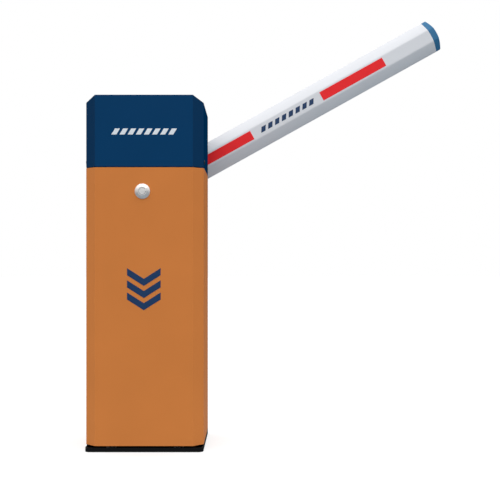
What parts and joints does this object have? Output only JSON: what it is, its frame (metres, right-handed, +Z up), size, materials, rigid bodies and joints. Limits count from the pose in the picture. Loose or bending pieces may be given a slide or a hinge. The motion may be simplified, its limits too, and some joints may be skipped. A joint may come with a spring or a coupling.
{
  "type": "parking barrier gate",
  "caption": "Floor-standing barrier gate cabinet with a hood, a hinged front door, a geared drive inside and a tapered-face boom lifting behind it.",
  "frame": {"origin": "on the floor, in the middle of the cabinet's four anchor holes", "axes": "+Z up, +Y towards the back where the boom is, +X along the lane the boom reaches over, door facing -Y"},
  "size_m": [1.0675, 0.3948, 1.2925],
  "materials": {
    "orange_paint": "smooth semi-gloss paint",
    "navy_paint": "smooth semi-gloss paint",
    "black_paint": "satin paint",
    "zinc": "zinc plated",
    "steel": "machined",
    "chrome": "polished",
    "casting": "painted casting",
    "brass": "machined",
    "rubber": "matte",
    "white_paint": "smooth gloss powder coat",
    "cap_blue": "moulded",
    "red_film": "reflective film",
    "navy_film": "vinyl film",
    "white_film": "vinyl film",
    "black_plastic": "moulded",
    "grey_plastic": "moulded",
    "green_plastic": "moulded",
    "red_plastic": "moulded",
    "blue_plastic": "moulded"
  },
  "bodies": {
    "cabinet": {"plinth": "black_paint", "body_shell": "orange_paint", "hood": "navy_paint", "door_rail": "zinc", "mounting_plate": "zinc", "door_seal": "rubber", "hinge_brackets": "steel", "hood_marking": "white_film", "hood_screws": "steel", "plate_bolts": "steel", "bearing_housing": "casting", "bearing_outer_rings": "steel", "shaft_seal": "rubber", "gearbox_housing": "casting", "gearbox_cover": "casting", "drive_bolts": "steel", "idler_pin": "chrome", "motor_body": "black_paint", "motor_end_cap": "grey_plastic", "balance_spring": "steel", "spring_anchor": "zinc", "buffer_posts": "zinc", "rubber_buffers": "rubber", "limit_switches": "black_plastic", "controller_box": "grey_plastic", "controller_lid": "grey_plastic", "terminal_rail": "grey_plastic"},
    "boom_arm": {"boom_tube": "white_paint", "boom_caps": "cap_blue", "boom_stripes": "red_film", "boom_marking": "navy_film", "holder_hub": "casting", "holder_front_shell": "casting", "holder_back_shell": "casting", "holder_bolts": "steel", "main_shaft": "steel", "bearing_inner_rings": "chrome", "lever_arm": "casting", "lever_pins": "chrome", "shaft_end_bolt": "steel"},
    "door": {"door_panel": "orange_paint", "front_emblem": "navy_film", "lock_escutcheon": "chrome", "lock_nut": "zinc"},
    "lock": {"lock_cylinder": "steel", "lock_cam": "zinc"},
    "lock_flap": {"lock_cover": "chrome"},
    "output": {"output_shaft": "steel", "output_gear": "brass", "crank_arm": "casting", "crank_pin": "chrome"},
    "idler": {"idler_gear": "steel"},
    "motor_rotor": {"motor_shaft": "steel"},
    "rod": {"connecting_rod": "zinc", "rod_ends": "steel"},
    "spring_slide": {"spring_yoke": "zinc"},
    "open_key": {"button_open": "green_plastic"},
    "stop_key": {"button_stop": "red_plastic"},
    "close_key": {"button_close": "blue_plastic"},
    "breaker_key": {"breaker_toggle": "black_plastic"}
  },
  "joints": [
    {"name": "boom_lift", "type": "hinge", "parent": "cabinet", "child": "boom_arm", "pos_m": [0, 0.1, 0.762], "axis": [0, -1, 0], "range_deg": [-29.1, 60.9]},
    {"name": "crank_turn", "type": "hinge", "parent": "cabinet", "child": "output", "pos_m": [0, 0.1, 0.54], "axis": [0, -1, 0], "range_deg": [-29.1, 60.9]},
    {"name": "idler_turn", "type": "hinge", "parent": "cabinet", "child": "idler", "pos_m": [0, 0.1, 0.476], "axis": [0, -1, 0], "range_deg": [-182.7, 87.3]},
    {"name": "motor_turn", "type": "hinge", "parent": "cabinet", "child": "motor_rotor", "pos_m": [0, 0.1, 0.428], "axis": [0, -1, 0], "range_deg": [-261.9, 548.1]},
    {"name": "rod_swing", "type": "hinge", "parent": "output", "child": "rod", "pos_m": [0.0577, 0.04, 0.52356], "axis": [0, -1, 0], "range_deg": [-60.9, 29.1]},
    {"name": "spring_stretch", "type": "slide", "parent": "cabinet", "child": "spring_slide", "axis": [0, 0, 1], "range_m": [-0.06719, 0.03221], "deforming": ["balance_spring"]},
    {"name": "door_swing", "type": "hinge", "parent": "cabinet", "child": "door", "pos_m": [0, -0.142, 0.03], "axis": [1, 0, 0], "range_deg": [0, 90]},
    {"name": "lock_turn", "type": "hinge", "parent": "door", "child": "lock", "pos_m": [-0.004, -0.14, 0.73], "axis": [0, 1, 0], "range_deg": [0, 90]},
    {"name": "lock_flap_swing", "type": "hinge", "parent": "door", "child": "lock_flap", "pos_m": [0.009, -0.159, 0.734], "axis": [0, -1, 0], "range_deg": [0, 120]},
    {"name": "open_press", "type": "slide", "parent": "cabinet", "child": "open_key", "axis": [0, 1, 0], "range_m": [0, 0.0025], "stiffness_N_per_m": 400},
    {"name": "stop_press", "type": "slide", "parent": "cabinet", "child": "stop_key", "axis": [0, 1, 0], "range_m": [0, 0.0025], "stiffness_N_per_m": 400},
    {"name": "close_press", "type": "slide", "parent": "cabinet", "child": "close_key", "axis": [0, 1, 0], "range_m": [0, 0.0025], "stiffness_N_per_m": 400},
    {"name": "breaker_switch", "type": "hinge", "parent": "cabinet", "child": "breaker_key", "pos_m": [-0.104, 0.072, 0.138], "axis": [1, 0, 0], "range_deg": [0, 40]}
  ],
  "couplings": [
    {"joint": "crank_turn", "follows": "boom_lift", "ratio": 1},
    {"joint": "idler_turn", "follows": "boom_lift", "ratio": -3},
    {"joint": "motor_turn", "follows": "boom_lift", "ratio": 9},
    {"joint": "rod_swing", "follows": "boom_lift", "ratio": -1},
    {"joint": "spring_stretch", "follows": "boom_lift", "m_per_rad": -0.063022}
  ]
}
